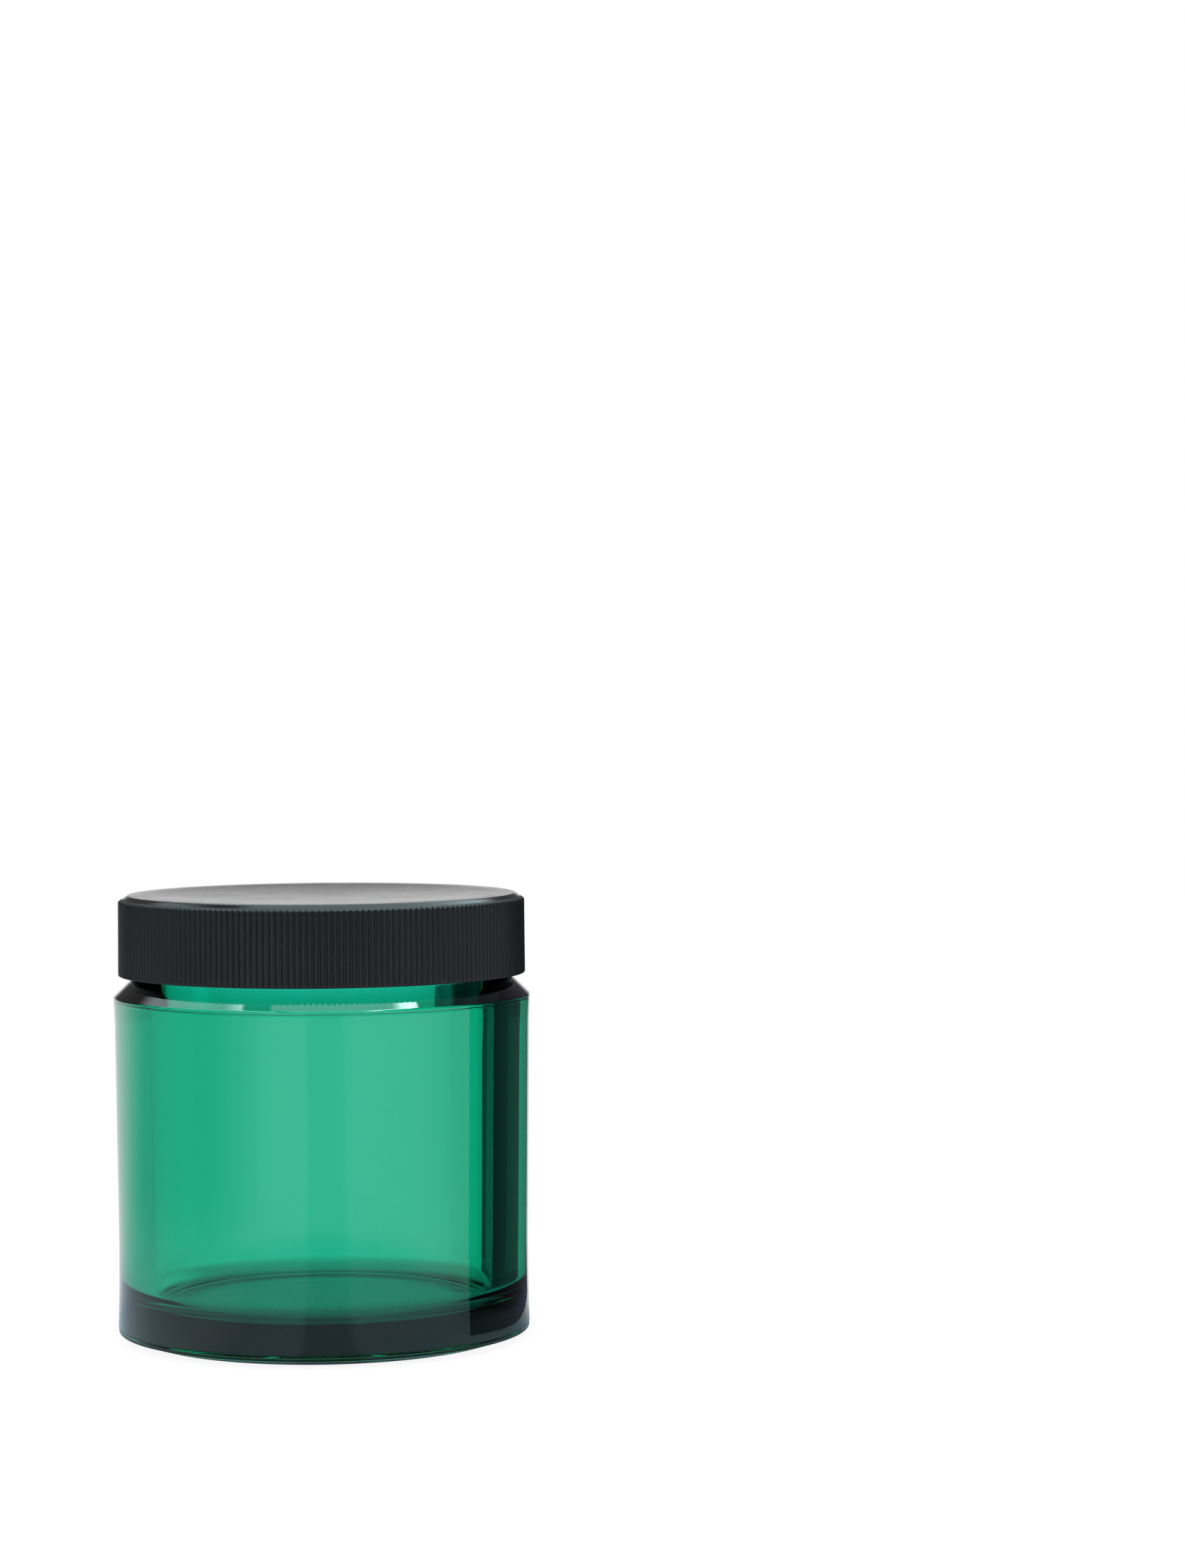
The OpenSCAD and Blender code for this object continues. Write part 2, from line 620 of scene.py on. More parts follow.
@dataclass(frozen=True)
class Thread:
    """One ridge wound round a cylinder, which sinks into it at both ends."""

    pitch: float
    height: float
    root_width: float
    crest_width: float
    start_turn: float
    start_z: float
    turns: float = 1.2
    run_out: float = 0.09

    def lift(self, z: np.ndarray, columns: int) -> np.ndarray:
        """How far the ridge stands out at each point.

        The ridge's middle is at start_z + pitch * turn. Across it the height falls from
        crest to root as a smooth step of the distance from the middle, and along it the
        height grows from nothing over the run-out at each end.

        Args:
            z: The rows' heights.
            columns: How many points there are round the axis.

        Returns:
            (rows, columns) heights of the ridge.
        """
        share = np.arange(columns) / columns
        out = np.zeros((len(z), columns))
        for lap in range(math.ceil(self.start_turn + self.turns) + 1):
            turn = share + lap
            along = turn - self.start_turn
            rise = np.clip(np.minimum(along, self.turns - along) / self.run_out, 0, 1)
            away = np.abs(z[:, None] - (self.start_z + self.pitch * turn)[None])
            slope = (self.root_width - self.crest_width) / 2
            flank = np.clip((self.root_width / 2 - away) / slope, 0, 1)
            flank = flank * flank * (3 - 2 * flank)
            out = np.maximum(out, self.height * rise * rise * (3 - 2 * rise) * flank)
        return out


# ---------------------------------------------------------------- finishes


@dataclass(frozen=True)
class ClearPolymer:
    """Thick transparent green polymer with a polished skin."""

    name: str = "clear_green_polymer"
    tint: Colour = (0.86, 0.985, 0.94)
    tint_deep: Colour = (0.83, 0.98, 0.92)
    refraction: float = 1.57
    absorbed: Colour = (0.138, 0.886, 0.812)
    density: float = 600.0
    cloud: Spots = Spots(70.0, stretch=(1.0, 1.0, 0.35))
    cloud_span: Span = (0.35, 0.65)
    smear: Spots = Spots(55.0, 4.0, 0.6, (1.0, 1.0, 2.2))
    smear_span: Span = (0.5, 0.8)
    smear_roughness: float = 0.03
    flow: Spots = Spots(160.0, stretch=(1.0, 1.0, 0.16))
    ripple_m: float = 0.000004

    def material(self) -> bpy.types.Material:
        """Makes the material.

        Returns:
            A see-through material whose colour deepens with the thickness.
        """
        made = bpy.data.materials.new(self.name)
        g = Graph(made)
        cloud = g.noise(self.cloud).ramp(*self.cloud_span)
        smear = g.noise(self.smear).ramp(*self.smear_span, 0.0, self.smear_roughness)
        volume = g.add(
            "ShaderNodeVolumeAbsorption",
            None,
            {"Color": self.absorbed, "Density": self.density},
        )
        g.skin(
            {
                "Base Color": g.colours(cloud, self.tint, self.tint_deep),
                "Roughness": smear,
                "IOR": self.refraction,
                "Transmission Weight": 1.0,
                "Normal": g.bump(g.noise(self.flow), self.ripple_m, 1.0),
            },
            Volume=volume,
        )
        return made


@dataclass(frozen=True)
class SatinBlack:
    """Black moulded polymer with a fine eroded grain and a little wear on its edges."""

    name: str = "satin_black_lid"
    base: Colour = (0.0095, 0.0105, 0.011)
    worn: Colour = (0.026, 0.028, 0.029)
    refraction: float = 1.49
    roughness: Span = (0.38, 0.47)
    roughness_span: Span = (0.3, 0.7)
    worn_smoother: float = 0.05
    polished_smoother: float = 0.3
    polished_from_m: Span = (0.0633, 0.0634)
    polished_calmer: float = 0.8
    grain: Spots = Spots(5200.0, 3.0, 0.7)
    grain_m: float = 0.00001
    grain_strength: float = 0.8
    cloud: Spots = Spots(150.0, 3.0)
    rubbed_span: Span = (0.3, 0.75)
    rubbed_share: float = 0.6
    specks: Spots = Spots(2400.0, 1.0)
    speck_span: Span = (0.74, 0.8)
    speck_share: float = 0.5

    def material(self) -> bpy.types.Material:
        """Makes the material.

        Returns:
            A dark satin material that reads the wear attribute of the lid's mesh, and is
            smoother on the polished top.
        """
        made = bpy.data.materials.new(self.name)
        g = Graph(made)
        wear = g.add("ShaderNodeAttribute", {"attribute_name": WEAR}).signal("Fac")
        _, _, z = g.parts(g.place())
        polished = z.ramp(*self.polished_from_m)
        cloud = g.noise(self.cloud) - NOISE_MEAN
        cloud = cloud * (1 - polished * self.polished_calmer) + NOISE_MEAN
        rubbed = wear * cloud.ramp(*self.rubbed_span) * self.rubbed_share
        specks = g.noise(self.specks).ramp(*self.speck_span) * self.speck_share
        rough = cloud.ramp(*self.roughness_span, *self.roughness)
        rough = rough - wear * self.worn_smoother - polished * self.polished_smoother
        g.skin(
            {
                "Base Color": g.colours((rubbed + specks).at_most(1.0), self.base, self.worn),
                "Roughness": rough,
                "IOR": self.refraction,
                "Normal": g.bump(g.noise(self.grain), self.grain_m, self.grain_strength),
            }
        )
        return made


@dataclass(frozen=True)
class Foam:
    """Off-white closed-cell foam with a tight skin."""

    name: str = "white_foam_liner"
    base: Colour = (0.82, 0.82, 0.8)
    shade: Colour = (0.7, 0.7, 0.67)
    refraction: float = 1.45
    roughness: Span = (0.56, 0.68)
    roughness_span: Span = (0.3, 0.7)
    cell_scale: float = 2600.0
    cell_share: float = 0.5
    cell_m: float = 0.00003
    cell_strength: float = 0.6
    cloud: Spots = Spots(130.0, 3.0)
    cloud_span: Span = (0.35, 0.7)
    cloud_share: float = 0.4

    def material(self) -> bpy.types.Material:
        """Makes the material.

        Returns:
            A pale matt material with small cells in its bump.
        """
        made = bpy.data.materials.new(self.name)
        g = Graph(made)
        cell = g.add(
            "ShaderNodeTexVoronoi",
            {"feature": "F1"},
            {"Vector": g.place(), "Scale": self.cell_scale},
        ).signal("Distance")
        cloud = g.noise(self.cloud)
        shade = cell * self.cell_share + cloud.ramp(*self.cloud_span) * self.cloud_share
        g.skin(
            {
                "Base Color": g.colours(shade.at_most(1.0), self.base, self.shade),
                "Roughness": cloud.ramp(*self.roughness_span, *self.roughness),
                "IOR": self.refraction,
                "Normal": g.bump(cell, self.cell_m, self.cell_strength),
            }
        )
        return made


# ---------------------------------------------------------------- the pieces


@dataclass(frozen=True)
class JarBody:
    """The thick-walled jar: foot, wall, shoulder, threaded neck and cavity."""

    # base and foot
    pole_r: float = 0.3
    recess_r: float = 24.5
    recess_z: float = 0.8
    recess_slope: float = 1.5
    ring_r: float = 26.2
    ring_rounds: Triple = (1.2, 0.25, 0.5)
    foot_r: float = 29.6
    foot_z: float = 1.7
    foot_lean: float = 17.0
    foot_round: float = 0.4
    groove: float = 0.05
    groove_h: float = 0.25
    groove_rounds: Triple = (0.12, 0.1, 0.15)
    heel_r: float = 29.66
    heel_z: float = 2.0
    heel_lip: Span = (0.01, 0.12)
    # wall, with the fine parting line under the shoulder's edge
    waist_r: float = 29.5
    waist_z: float = 14.0
    draft: float = math.tan(math.radians(0.62))
    flare_h: float = 4.0
    flare_power: float = 1.2
    edge_r: float = 30.0
    edge_z: float = 49.1
    edge_round: float = 0.4
    edge_start: float = -4.0
    edge_in: float = 0.004
    edge_drop: float = 0.05
    seam_drop: float = 0.28
    seam_w: float = 0.12
    seam_depth: float = 0.028
    seam_section: tuple[Span, ...] = ((-1.3, 0), (-0.65, 0.5), (0, 1), (0.5, 0.5), (1, 0))
    # shoulder and neck
    slope: float = 44.0
    collar_r: float = 27.0
    collar_z: float = 53.45
    collar_rounds: Triple = (0.3, 0.25, 0.3)
    neck_r: float = 26.4
    neck_low: float = 0.6
    rim_z: float = 61.4
    rim_h: float = 0.6
    rim_round: float = 0.35
    thread: Thread = Thread(
        pitch=4.23, height=0.95, root_width=2.1, crest_width=1.1, start_turn=0.0, start_z=54.65
    )
    # cavity
    wall: float = 5.1
    floor_z: float = 5.1
    fillet: float = 2.8
    fillet_h: float = 3.3
    # grid
    columns: int = 320
    heel_rows: int = 12
    straight_rows: int = 16
    flare_rows: int = 8
    edge_rows: int = 9
    fillet_rows: int = 20
    floor_rows: int = 11
    base_step: float = 2.0
    edge_step: float = 0.8
    thread_step: float = 0.15
    wall_step: float = 2.4
    wall_guard: float = 0.3

    def cavity_r(self, z: float) -> float:
        """Radius of the cavity, which widens upwards by the draft."""
        return self.waist_r - self.wall + (z - self.waist_z) * self.draft

    def under(self) -> np.ndarray:
        """The base: the recess, the ring it stands on, the foot and the foot's groove.

        Returns:
            The points, from the middle outwards and up to the heel.
        """
        rise = (self.foot_r - self.ring_r) * math.tan(math.radians(self.foot_lean))
        slope, recess, ring = self.ring_rounds
        below, middle, above = self.groove_rounds
        lip_w, lip_h = self.heel_lip
        return rounded(
            [
                (self.pole_r, self.recess_z, SHARP),
                (self.recess_r - self.recess_slope, self.recess_z, slope),
                (self.recess_r, 0.0, recess),
                (self.ring_r, 0.0, ring),
                (self.foot_r, rise, self.foot_round),
                (self.foot_r, self.foot_z - self.groove_h, below),
                (self.foot_r - self.groove, self.foot_z, middle),
                (self.heel_r - lip_w, self.heel_z - lip_h, above),
                (self.heel_r, self.heel_z, SHARP),
            ]
        )

    def wall_outside(self) -> np.ndarray:
        """The wall, from the heel up to the shoulder's edge.

        It narrows to the waist as the square of the height left, widens straight to the
        flare, and flares to the edge as a power of the share of the height. The parting
        line is sunk in the flare: its section gives, at some half widths from its
        middle, the share of its depth.

        Returns:
            The points, upwards.
        """
        u = 1 - np.linspace(0, 1, self.heel_rows + 1)[1:]
        heel = np.column_stack(
            [
                self.waist_r + (self.heel_r - self.waist_r) * u * u,
                self.waist_z - (self.waist_z - self.heel_z) * u,
            ]
        )
        foot_z = self.edge_z - self.edge_drop - self.flare_h
        foot_r = self.waist_r + (foot_z - self.waist_z) * self.draft
        share = np.linspace(0, 1, self.straight_rows + 1)[1:-1, None]
        straight = heel[-1:] + share * (np.array([[foot_r, foot_z]]) - heel[-1:])
        across, sunk = np.array(self.seam_section).T
        seam_v = 1 - (self.seam_drop - across * self.seam_w) / self.flare_h
        v = np.concatenate([np.linspace(0, 1, self.flare_rows + 1)[:-1], seam_v, [1.0]])
        r = foot_r + (self.edge_r - self.edge_in - foot_r) * v**self.flare_power
        r[self.flare_rows : -1] -= self.seam_depth * sunk
        return np.vstack([heel, straight, np.column_stack([r, foot_z + self.flare_h * v])])

    def shoulder(self) -> np.ndarray:
        """The rounded edge, the slope, the collar and the ledge at the neck's foot.

        Returns:
            The points, upwards.
        """
        centre = (self.edge_r - self.edge_round, self.edge_z)
        edge = arc(centre, self.edge_round, self.edge_start, 90 - self.slope, self.edge_rows)
        r, z = float(edge[-1, 0]), float(edge[-1, 1])
        rise = (r - self.collar_r) * math.tan(math.radians(self.slope))
        foot, top, ledge = self.collar_rounds
        above = rounded(
            [
                (r, z, SHARP),
                (self.collar_r, z + rise, foot),
                (self.collar_r, self.collar_z, top),
                (self.neck_r, self.collar_z, ledge),
                (self.neck_r, self.collar_z + self.neck_low, SHARP),
            ]
        )
        return np.vstack([edge, above[1:]])

    def rim(self) -> np.ndarray:
        """The rim of the mouth, rounded on both sides.

        Returns:
            The points, from the neck inwards.
        """
        mouth = self.cavity_r(self.rim_z)
        return rounded(
            [
                (self.neck_r, self.rim_z - self.rim_h, SHARP),
                (self.neck_r, self.rim_z, self.rim_round),
                (mouth, self.rim_z, self.rim_round),
                (mouth, self.rim_z - self.rim_h, SHARP),
            ]
        )

    def inside(self) -> np.ndarray:
        """The cavity: its wall, a fillet that is a quarter of an ellipse, and its floor.

        Returns:
            The points, downwards and in to the middle.
        """
        top, foot = self.rim_z - self.rim_h, self.floor_z + self.fillet_h
        foot_r = self.cavity_r(foot)
        wall = np.array([[self.cavity_r(top), top], [foot_r, foot]])
        bend = arc((0.0, 0.0), 1.0, 0, -90, self.fillet_rows)[1:]
        floor_r = np.linspace(foot_r - self.fillet, self.pole_r, self.floor_rows + 1)[1:]
        return np.vstack(
            [
                spaced(wall, self.wall_step, self.wall_guard)[1:],
                bend * (self.fillet, self.fillet_h) + (foot_r - self.fillet, foot),
                np.column_stack([floor_r, np.full(self.floor_rows, self.floor_z)]),
            ]
        )

    def build(self) -> bpy.types.Object:
        """Makes the jar's mesh.

        Returns:
            The object, which replaces the frame's solid of the jar.
        """
        shell = Shell()
        shell.pole(self.recess_z)
        below = [
            spaced(self.under(), self.base_step),
            self.wall_outside(),
            spaced(self.shoulder(), self.edge_step)[:-1],
        ]
        shell.rings(turned(np.vstack(below), self.columns))
        low, high = self.collar_z + self.neck_low, self.rim_z - self.rim_h
        z = np.arange(low, high, self.thread_step)
        neck = np.column_stack([np.full(len(z), self.neck_r), z])
        shell.rings(turned(neck, self.columns, self.thread.lift(z, self.columns)))
        shell.rings(turned(spaced(self.rim(), self.edge_step), self.columns))
        shell.rings(turned(self.inside(), self.columns))
        shell.pole(self.floor_z)
        return shell.build("clear_jar")


@dataclass(frozen=True)
class ScrewLid:
    """The screw lid: ribbed skirt, bevel, dished top and threaded bore."""

    # ribbed skirt and bevel
    low_z: float = 52.35
    top_z: float = 63.85
    crest_r: float = 29.3
    draft: float = 0.06
    ribs: int = 208
    rib_depth: float = 0.3
    rib_power: float = 2.2
    bevel_w: float = 1.4
    bevel_h: float = 0.95
    # dished top
    top_in: float = 0.1
    top_drop: float = 0.004
    top_step: float = 0.25
    dish_r: float = 25.6
    dish_h: float = 0.4
    # bore
    pole_r: float = 0.4
    skirt_r: float = 28.0
    bore_r: float = 27.75
    step_z: float = 53.55
    step_h: float = 0.3
    roof_z: float = 62.4
    roof_h: float = 0.7
    roof_round: float = 0.25
    lead_h: float = 0.35
    lead_w: float = 0.3
    foot_w: float = 0.2
    skirt_rounds: Triple = (0.05, 0.1, 0.08)
    thread: Thread = Thread(
        pitch=4.23, height=0.9, root_width=2.1, crest_width=0.9, start_turn=0.37, start_z=53.13
    )
    # wear
    crest_fade: float = 0.12
    edge_fade: float = 0.5
    # grid: rows are shares of the skirt's height and of the bevel's width
    rib_columns: int = 8
    inner_columns: int = 416
    foot_rows: tuple[Span, ...] = ((0.16, 0.0), (0.05, 0.04))
    skirt_rows: tuple[float, ...] = (0.012, 0.035, 0.25, 0.5, 0.75, 0.965, 0.99)
    bevel_rows: tuple[float, ...] = (0.04, 0.16, 0.5, 0.84, 0.95)
    dish_rows: int = 21
    roof_step: float = 3.0
    skirt_step: float = 0.6
    thread_step: float = 0.16

    def rib_profile(self) -> np.ndarray:
        """Depth below the crest round the lid: rounded ribs that meet in narrow grooves.

        With u the distance from a crest in rib widths, the depth grows as a power of
        |sin(pi u)|.

        Returns:
            One depth for each column.
        """
        u = np.arange(self.ribs * self.rib_columns) / self.rib_columns
        return self.rib_depth * np.abs(np.sin(np.pi * u)) ** self.rib_power

    def outside(self) -> np.ndarray:
        """The ribbed skirt and the bevel that cuts the ribs in scallops.

        A column goes straight up at its own radius until it meets the bevel's cone, at
        the height where the cone's radius equals its own, and then follows the cone.

        Returns:
            (rows, columns, 2) radii and heights.
        """
        foot_r = self.crest_r - self.rib_profile()
        top_r = foot_r - self.draft
        rim_r = self.crest_r - self.bevel_w
        slope = self.bevel_h / self.bevel_w
        meet_z = self.top_z - self.bevel_h + (self.crest_r - top_r) * slope
        inset, lift = np.array(self.foot_rows).T[..., None]
        up = np.array(self.skirt_rows)[:, None]
        along = np.array(self.bevel_rows)[:, None]
        r = [foot_r - inset, foot_r - self.draft * up, top_r + (rim_r - top_r) * along]
        z = [
            self.low_z + lift + 0 * foot_r,
            self.low_z + (meet_z - self.low_z) * up,
            meet_z + (self.top_z - meet_z) * along,
        ]
        return np.stack([np.vstack(r), np.vstack(z)], -1)

    def roof(self) -> np.ndarray:
        """The flat roof of the bore and the corner below it.

        Returns:
            The points, outwards.
        """
        return rounded(
            [
                (self.pole_r, self.roof_z, SHARP),
                (self.bore_r, self.roof_z, self.roof_round),
                (self.bore_r, self.roof_z - self.roof_h, SHARP),
            ]
        )

    def skirt_inside(self) -> np.ndarray:
        """The plain skirt under the thread, with its lead-in at the lid's lower edge.

        Returns:
            The points, downwards.
        """
        lead_r = self.skirt_r + self.lead_w
        step, lead, foot = self.skirt_rounds
        return rounded(
            [
                (self.bore_r, self.step_z + self.step_h, SHARP),
                (self.skirt_r, self.step_z, step),
                (self.skirt_r, self.low_z + self.lead_h, lead),
                (lead_r, self.low_z, foot),
                (lead_r + self.foot_w, self.low_z, SHARP),
            ]
        )

    def build(self) -> bpy.types.Object:
        """Makes the lid's mesh, with its wear stored on the points.

        From the bevel inwards the top has a few flat rings, and then the dish, which
        rises as the square of the radius.

        Returns:
            The object, which replaces the frame's solid of the lid.
        """
        fine, inner = self.ribs * self.rib_columns, self.inner_columns
        shell = Shell()
        shell.pole(self.roof_z)
        shell.rings(turned(spaced(self.roof(), self.roof_step)[:-1], inner))
        high, low = self.roof_z - self.roof_h, self.step_z + self.step_h
        z = np.arange(high, low, -self.thread_step)
        bore = np.column_stack([np.full(len(z), self.bore_r), z])
        shell.rings(turned(bore, inner, -self.thread.lift(z, inner)))
        shell.rings(turned(spaced(self.skirt_inside(), self.skirt_step), inner))
        shell.rings(turned(self.outside(), fine))
        rim_r = self.crest_r - self.bevel_w
        outer = (rim_r - self.top_in, self.top_z - self.top_drop)
        shell.rings(turned(np.array([outer, (rim_r - self.top_step, self.top_z)]), fine))
        u = np.linspace(1, 0, self.dish_rows + 1)[:-1]
        dish = np.column_stack([self.dish_r * u, self.top_z - self.dish_h * (1 - u * u)])
        edge = np.array([[self.dish_r + self.top_step, self.top_z]])
        shell.rings(turned(np.vstack([edge, dish]), self.ribs))
        shell.pole(self.top_z - self.dish_h)
        made = shell.build("ribbed_lid")
        self._mark_wear(made, shell)
        return made

    def _mark_wear(self, obj: bpy.types.Object, shell: Shell) -> None:
        """Stores how rubbed each point is: most on the crests of the ribs and on the
        bevel's upper edge, as straight falls of the distance from them.

        Args:
            obj: The lid.
            shell: The surface it was made from, whose points keep their order.
        """
        at = np.vstack(shell.points)
        r = np.hypot(at[:, 0], at[:, 1])
        crest = np.clip(1 - (self.crest_r - r) / self.crest_fade, 0, 1)
        away = np.hypot(r - self.crest_r + self.bevel_w, at[:, 2] - self.top_z)
        edge = np.clip(1 - away / self.edge_fade, 0, 1)
        layer = obj.data.attributes.new(WEAR, "FLOAT", "POINT")
        layer.data.foreach_set("value", np.maximum(crest, edge).astype(np.float32))


@dataclass(frozen=True)
class SealLiner:
    """The loose liner: a soft-edged disc that the rim has pressed a ring into."""

    pole_r: float = 0.4
    radius: float = 27.6
    low_z: float = 61.4
    top_z: float = 62.4
    soft: float = 0.2
    rim_in: float = 24.9
    rim_out: float = 26.3
    print_depth: float = 0.05
    print_slope: float = 0.2
    print_round: float = 0.1
    columns: int = 256
    step: float = 2.5
    guard: float = 0.06

    def build(self) -> bpy.types.Object:
        """Makes the liner's mesh.

        Returns:
            The object, which replaces the frame's solid of the liner.
        """
        low, dent = self.low_z, self.low_z + self.print_depth
        section = rounded(
            [
                (self.pole_r, low, SHARP),
                (self.rim_in - self.print_slope, low, self.print_round),
                (self.rim_in, dent, self.print_round),
                (self.rim_out, dent, self.print_round),
                (self.rim_out + self.print_slope, low, self.print_round),
                (self.radius, low, self.soft),
                (self.radius, self.top_z, self.soft),
                (self.pole_r, self.top_z, SHARP),
            ]
        )
        shell = Shell()
        shell.pole(low)
        shell.rings(turned(spaced(section, self.step, self.guard), self.columns))
        shell.pole(self.top_z)
        return shell.build("foam_liner")


# ---------------------------------------------------------------- the studio


@dataclass(frozen=True)
class Eye:
    """The camera: where it stands and how it is turned."""

    place: Triple = (0.0, -0.5771, 0.09715)
    yaw: float = 3.894
    pitch: float = -1.766
    roll: float = -0.32
    focal_px: float = 5631.0
    image_long_px: float = 2212.0
    sensor_mm: float = 36.0
    clip: Span = (0.01, 50.0)

    def build(self) -> bpy.types.Object:
        """Makes the camera and gives it to the scene.

        Returns:
            The camera.
        """
        yaw, pitch, roll = (math.radians(v) for v in (self.yaw, self.pitch, self.roll))
        ahead = Vector(
            (math.sin(yaw) * math.cos(pitch), math.cos(yaw) * math.cos(pitch), math.sin(pitch))
        )
        right = ahead.cross(Vector((0, 0, 1))).normalized()
        up = right.cross(ahead)
        x = right * math.cos(roll) + up * math.sin(roll)
        y = up * math.cos(roll) - right * math.sin(roll)
        data = bpy.data.cameras.new("eye")
        data.sensor_width = self.sensor_mm
        data.lens = self.focal_px / self.image_long_px * self.sensor_mm
        data.clip_start, data.clip_end = self.clip
        made = link("eye", data)
        turn = Matrix((x, y, -ahead)).transposed().to_4x4()
        made.matrix_world = Matrix.Translation(self.place) @ turn
        bpy.context.scene.camera = made
        return made


@dataclass(frozen=True)
class Surround:
    """How bright the room is in each direction round the jar, as the jar mirrors it.

    A heading is 0 degrees towards the camera, 90 to the left and 180 behind the jar.
    """

    left_dim: float = 0.72
    left_from: Span = (20.0, 65.0)
    left_to: Span = (110.0, 142.0)
    left_tone: Colour = (0.88, 1.15, 1.3)
    # painted light: close to the jar the left is this much less dark
    near_dim: float = 0.36
    inner_left: float = 0.2
    right_dim: float = 0.4
    right_from: Span = (-130.0, -110.0)
    right_to: Span = (-80.0, -50.0)
    lens_dim: float = 0.3
    lens_from: Span = (-14.0, -9.0)
    lens_to: Span = (7.0, 10.0)

    def heading(self, x: Signal, y: Signal) -> Signal:
        """The heading of the direction (x, y), in degrees."""
        return (0 - x).math("ARCTAN2", 0 - y) * (180 / math.pi)

    def left(self, heading: Signal) -> Signal:
        """How far a heading lies in the dark left, from 0 to 1."""
        return heading.between(self.left_from, self.left_to)

    def level(self, heading: Signal, inside: Signal, near: Signal | float = 0.0) -> Signal:
        """The room's brightness at a heading.

        Args:
            heading: In degrees.
            inside: 1 for light that has been in the clear wall, else 0.
            near: 1 close to the jar, where painted light makes the left less dark, and 0 far
                from it.

        Returns:
            1 where the room is white, and less on the dark left, on the right and at the
            camera. Inside the wall the left is less dark.
        """
        # painted light close to the jar eases the left's darkness
        dim = near * (self.near_dim - self.left_dim) + self.left_dim
        left = self.left(heading) * (inside * (self.inner_left - dim) + dim)
        lens = heading.between(self.lens_from, self.lens_to) * self.lens_dim
        right = heading.between(self.right_from, self.right_to) * self.right_dim
        return (1 - left) * (1 - lens) * (1 - right)


@dataclass(frozen=True)
class Panels:
    """Two soft panels overhead, each with a bright strip at one end.

    Places are the part to the right of a unit vector. The far panel is on the left.
    """

    light: float = 1.5
    gap_light: float = 0.1
    panel_from: Span = (-0.265, -0.245)
    panel_to: Span = (0.43, 0.445)
    far_to: Span = (-0.39, -0.37)
    strip: float = 14.0
    strip_from: Span = (0.33, 0.41)
    far_strip: float = 4.0
    far_strip_from: Span = (-0.46, -0.39)
    back_from: Span = (0.1, 0.25)
    back_share: float = 0.1

    def level(self, x: Signal, y: Signal) -> Signal:
        """How bright the ceiling is in one direction.

        Args:
            x: The direction's part to the right.
            y: Its part towards the back, where the strips fade.

        Returns:
            The brightness.
        """
        panel = x.between(self.panel_from, self.panel_to)
        far = x.ramp(*self.far_to, 1.0, 0.0)
        strips = x.between(self.strip_from, self.panel_to) * self.strip
        strips = strips + x.ramp(*self.far_strip_from) * far * self.far_strip
        strips = strips * y.ramp(*self.back_from, 1.0, self.back_share)
        return (panel + far) * self.light + strips + self.gap_light


@dataclass(frozen=True)
class Room:
    """What surrounds the jar: a white room, softer panels overhead and a dark front.

    Directions are parts of a unit vector: y is 1 behind the jar and z is 1 overhead.
    """

    white: float = 1.0
    diffuse: float = 1.0
    front: float = 0.12
    behind_from: Span = (-0.35, 0.5)
    backdrop_from: Span = (0.02, 0.15)
    backdrop_foot: float = 0.1
    inner_to: Span = (0.5, 0.7)
    inner_light: Span = (0.85, 0.05)
    base_from: Span = (0.0, 0.05)
    base_to: Span = (0.25, 0.4)
    base_dim: float = 0.85
    above_from: Span = (0.45, 0.6)
    cool: Colour = (0.74, 0.91, 1.0)
    panel_tone: Colour = (0.86, 1.1, 1.18)
    panels: Panels = Panels()
    surround: Surround = Surround()

    def backdrop(self, z: Signal, inside: Signal, crossed: Signal) -> Signal:
        """How bright the wall behind the jar is.

        Args:
            z: The direction's height.
            inside: 1 for light that has been in the clear wall, else 0.
            crossed: 1 for light that has crossed the hollow too, else 0.

        Returns:
            Outside, white down to just over the table. Inside, a little less high up,
            and much less for low light that was kept in the base.
        """
        outer = z.ramp(*self.backdrop_from, self.white, self.backdrop_foot) * (1 - inside)
        inner = z.ramp(*self.inner_to, *self.inner_light)
        in_base = (inside - crossed) * z.between(self.base_from, self.base_to)
        return outer + inner * (inside - in_base * self.base_dim)

    def build(self) -> None:
        """Makes the world.

        Rays from the camera, and rays that only pass through the clear wall, find plain
        white. Rays that a surface has thrown back find white behind the jar, a darker
        and cooler room in front, and panels overhead.
        """
        world = bpy.data.worlds.new("room")
        bpy.context.scene.world = world
        world.cycles.sampling_method = "NONE"
        g = Graph(world)
        path = LightPath(g)
        x, y, z = g.parts(g.add("ShaderNodeTexCoord").signal("Generated"))
        inside, crossed = path.passed(), path.passed(times=3)
        once, dull = path.thrown_back(), path.is_kind("Diffuse")
        behind = y.ramp(*self.behind_from)
        heading = self.surround.heading(x, y)
        level = behind * (self.backdrop(z, inside, crossed) - self.front) + self.front
        level = level * self.surround.level(heading, inside)
        above = z.ramp(*self.above_from)
        thrown = level * (1 - above) + self.panels.level(x, y) * above * (1 - inside)
        lit = thrown * (1 - dull) + self.diffuse * dull
        strength = once * lit + (1 - once) * self.white
        tone = g.colours((1 - behind) * (1 - above) * once, WHITE, self.cool)
        tone = g.colours(above * once, tone, self.panel_tone)
        left = self.surround.left(heading) * (1 - above) * (once - inside)
        tone = g.colours(left, tone, self.surround.left_tone)
        glow = g.add("ShaderNodeBackground", None, {"Color": tone, "Strength": strength})
        g.add("ShaderNodeOutputWorld", None, {"Surface": glow})


